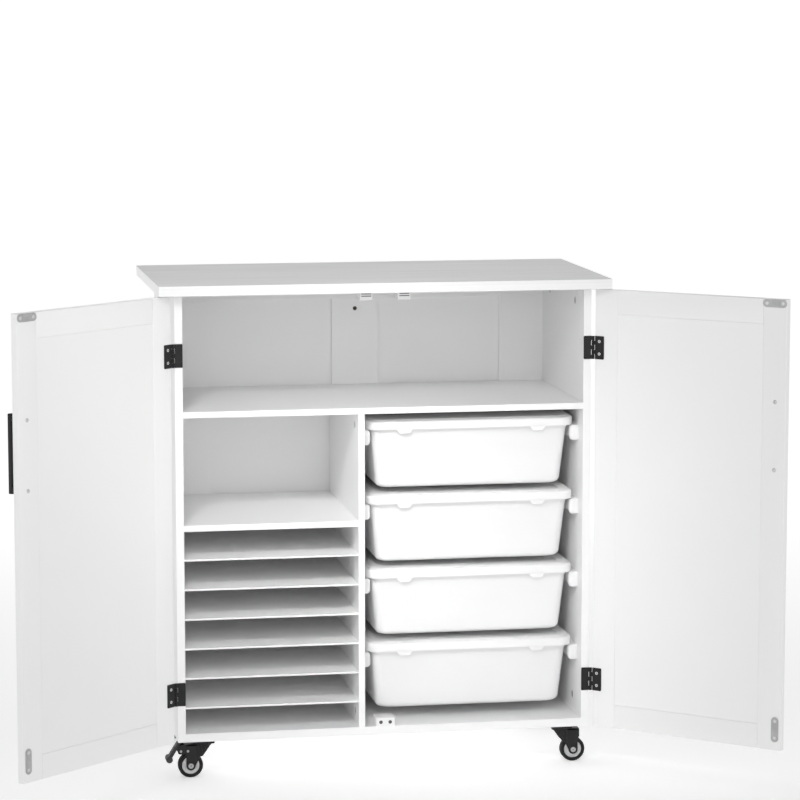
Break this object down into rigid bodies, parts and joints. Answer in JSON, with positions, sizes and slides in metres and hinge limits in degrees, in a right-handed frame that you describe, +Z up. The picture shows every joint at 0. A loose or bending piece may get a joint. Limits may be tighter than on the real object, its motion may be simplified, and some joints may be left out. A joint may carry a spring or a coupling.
{
  "type": "sewing table",
  "caption": "Rolling sewing and craft cabinet table: flat worktop, double doors, paper slots, shelf and lidded bins on swivel casters with brakes.",
  "frame": {"origin": "on the floor, under the middle of the whole object's box with the doors open as they rest", "axes": "+X to the right seen from the front, +Y towards the back, +Z up; the doors face -Y"},
  "size_m": [1.448, 0.6656, 0.949],
  "materials": {
    "white_board": "satin white lacquer on board",
    "white_plastic": "satin moulded polypropylene",
    "black_metal": "satin black",
    "zinc_steel": "zinc plated",
    "grey_hub": "moulded",
    "black_tyre": "moulded rubber",
    "black_plastic": "moulded"
  },
  "bodies": {
    "root": {"worktop": "white_board", "left_side_panel": "white_board", "right_side_panel": "white_board", "bottom_panel": "white_board", "back_panel_left": "white_board", "back_panel_right": "white_board", "back_stiles": "white_board", "back_top_rail": "white_board", "upper_shelf": "white_board", "divider": "white_board", "left_shelf": "white_board", "paper_shelf_1": "white_board", "paper_shelf_2": "white_board", "paper_shelf_3": "white_board", "paper_shelf_4": "white_board", "paper_shelf_5": "white_board", "paper_shelf_6": "white_board", "bin_runners": "white_plastic", "magnetic_catches": "white_plastic", "catch_magnets": "black_plastic", "cam_locks": "zinc_steel", "caster_plates": "black_metal", "caster_screws": "zinc_steel", "carcass_hinge_leaves": "black_metal", "hinge_pins": "zinc_steel", "hinge_screws": "zinc_steel"},
    "left_door": {"left_door_frame": "white_board", "left_door_panel": "white_board", "left_door_hinge_leaves": "black_metal", "left_handle": "black_metal", "left_striker_plates": "zinc_steel", "left_door_screws": "zinc_steel"},
    "right_door": {"right_door_frame": "white_board", "right_door_panel": "white_board", "right_door_hinge_leaves": "black_metal", "right_handle": "black_metal", "right_striker_plates": "zinc_steel", "right_door_screws": "zinc_steel"},
    "bin_1": {"bin_1_tub": "white_plastic"},
    "lid_1": {"bin_1_lid": "white_plastic"},
    "bin_2": {"bin_2_tub": "white_plastic"},
    "lid_2": {"bin_2_lid": "white_plastic"},
    "bin_3": {"bin_3_tub": "white_plastic"},
    "lid_3": {"bin_3_lid": "white_plastic"},
    "bin_4": {"bin_4_tub": "white_plastic"},
    "lid_4": {"bin_4_lid": "white_plastic"},
    "caster_front_left": {"caster_front_left_fork": "black_metal"},
    "wheel_front_left": {"caster_front_left_hub": "grey_hub", "caster_front_left_tyre": "black_tyre"},
    "brake_front_left": {"brake_pedal_front_left": "black_plastic"},
    "caster_front_right": {"caster_front_right_fork": "black_metal"},
    "wheel_front_right": {"caster_front_right_hub": "grey_hub", "caster_front_right_tyre": "black_tyre"},
    "caster_rear_left": {"caster_rear_left_fork": "black_metal"},
    "wheel_rear_left": {"caster_rear_left_hub": "grey_hub", "caster_rear_left_tyre": "black_tyre"},
    "brake_rear_left": {"brake_pedal_rear_left": "black_plastic"},
    "caster_rear_right": {"caster_rear_right_fork": "black_metal"},
    "wheel_rear_right": {"caster_rear_right_hub": "grey_hub", "caster_rear_right_tyre": "black_tyre"}
  },
  "joints": [
    {"name": "left_door_hinge", "type": "hinge", "parent": "root", "child": "left_door", "pos_m": [-0.4032, -0.06996, 0.5], "axis": [0, 0, -1], "range_deg": [-139, 60]},
    {"name": "right_door_hinge", "type": "hinge", "parent": "root", "child": "right_door", "pos_m": [0.4032, -0.06996, 0.5], "axis": [0, 0, 1], "range_deg": [-139, 60]},
    {"name": "bin_1_slide", "type": "slide", "parent": "root", "child": "bin_1", "axis": [0, -1, 0], "range_m": [0, 0.28]},
    {"name": "lid_1_lift", "type": "slide", "parent": "bin_1", "child": "lid_1", "axis": [0, 0, 1], "range_m": [0, 0.009]},
    {"name": "bin_2_slide", "type": "slide", "parent": "root", "child": "bin_2", "axis": [0, -1, 0], "range_m": [0, 0.28]},
    {"name": "lid_2_lift", "type": "slide", "parent": "bin_2", "child": "lid_2", "axis": [0, 0, 1], "range_m": [0, 0.009]},
    {"name": "bin_3_slide", "type": "slide", "parent": "root", "child": "bin_3", "axis": [0, -1, 0], "range_m": [0, 0.28]},
    {"name": "lid_3_lift", "type": "slide", "parent": "bin_3", "child": "lid_3", "axis": [0, 0, 1], "range_m": [0, 0.009]},
    {"name": "bin_4_slide", "type": "slide", "parent": "root", "child": "bin_4", "axis": [0, -1, 0], "range_m": [0, 0.28]},
    {"name": "lid_4_lift", "type": "slide", "parent": "bin_4", "child": "lid_4", "axis": [0, 0, 1], "range_m": [0, 0.009]},
    {"name": "caster_front_left_swivel", "type": "hinge", "parent": "root", "child": "caster_front_left", "pos_m": [-0.35, -0.04046, 0.07], "axis": [0, 0, 1], "continuous": true},
    {"name": "wheel_front_left_spin", "type": "hinge", "parent": "caster_front_left", "child": "wheel_front_left", "pos_m": [-0.374, -0.04046, 0.024], "axis": [0, 1, 0], "continuous": true},
    {"name": "brake_front_left_pedal", "type": "hinge", "parent": "caster_front_left", "child": "brake_front_left", "pos_m": [-0.393, -0.04046, 0.053], "axis": [0, 1, 0], "range_deg": [0, 25]},
    {"name": "caster_front_right_swivel", "type": "hinge", "parent": "root", "child": "caster_front_right", "pos_m": [0.35, -0.04046, 0.07], "axis": [0, 0, 1], "continuous": true},
    {"name": "wheel_front_right_spin", "type": "hinge", "parent": "caster_front_right", "child": "wheel_front_right", "pos_m": [0.374, -0.04046, 0.024], "axis": [0, 1, 0], "continuous": true},
    {"name": "caster_rear_left_swivel", "type": "hinge", "parent": "root", "child": "caster_rear_left", "pos_m": [-0.35, 0.27554, 0.07], "axis": [0, 0, 1], "continuous": true},
    {"name": "wheel_rear_left_spin", "type": "hinge", "parent": "caster_rear_left", "child": "wheel_rear_left", "pos_m": [-0.374, 0.27554, 0.024], "axis": [0, 1, 0], "continuous": true},
    {"name": "brake_rear_left_pedal", "type": "hinge", "parent": "caster_rear_left", "child": "brake_rear_left", "pos_m": [-0.393, 0.27554, 0.053], "axis": [0, 1, 0], "range_deg": [0, 25]},
    {"name": "caster_rear_right_swivel", "type": "hinge", "parent": "root", "child": "caster_rear_right", "pos_m": [0.35, 0.27554, 0.07], "axis": [0, 0, 1], "continuous": true},
    {"name": "wheel_rear_right_spin", "type": "hinge", "parent": "caster_rear_right", "child": "wheel_rear_right", "pos_m": [0.374, 0.27554, 0.024], "axis": [0, 1, 0], "continuous": true}
  ]
}
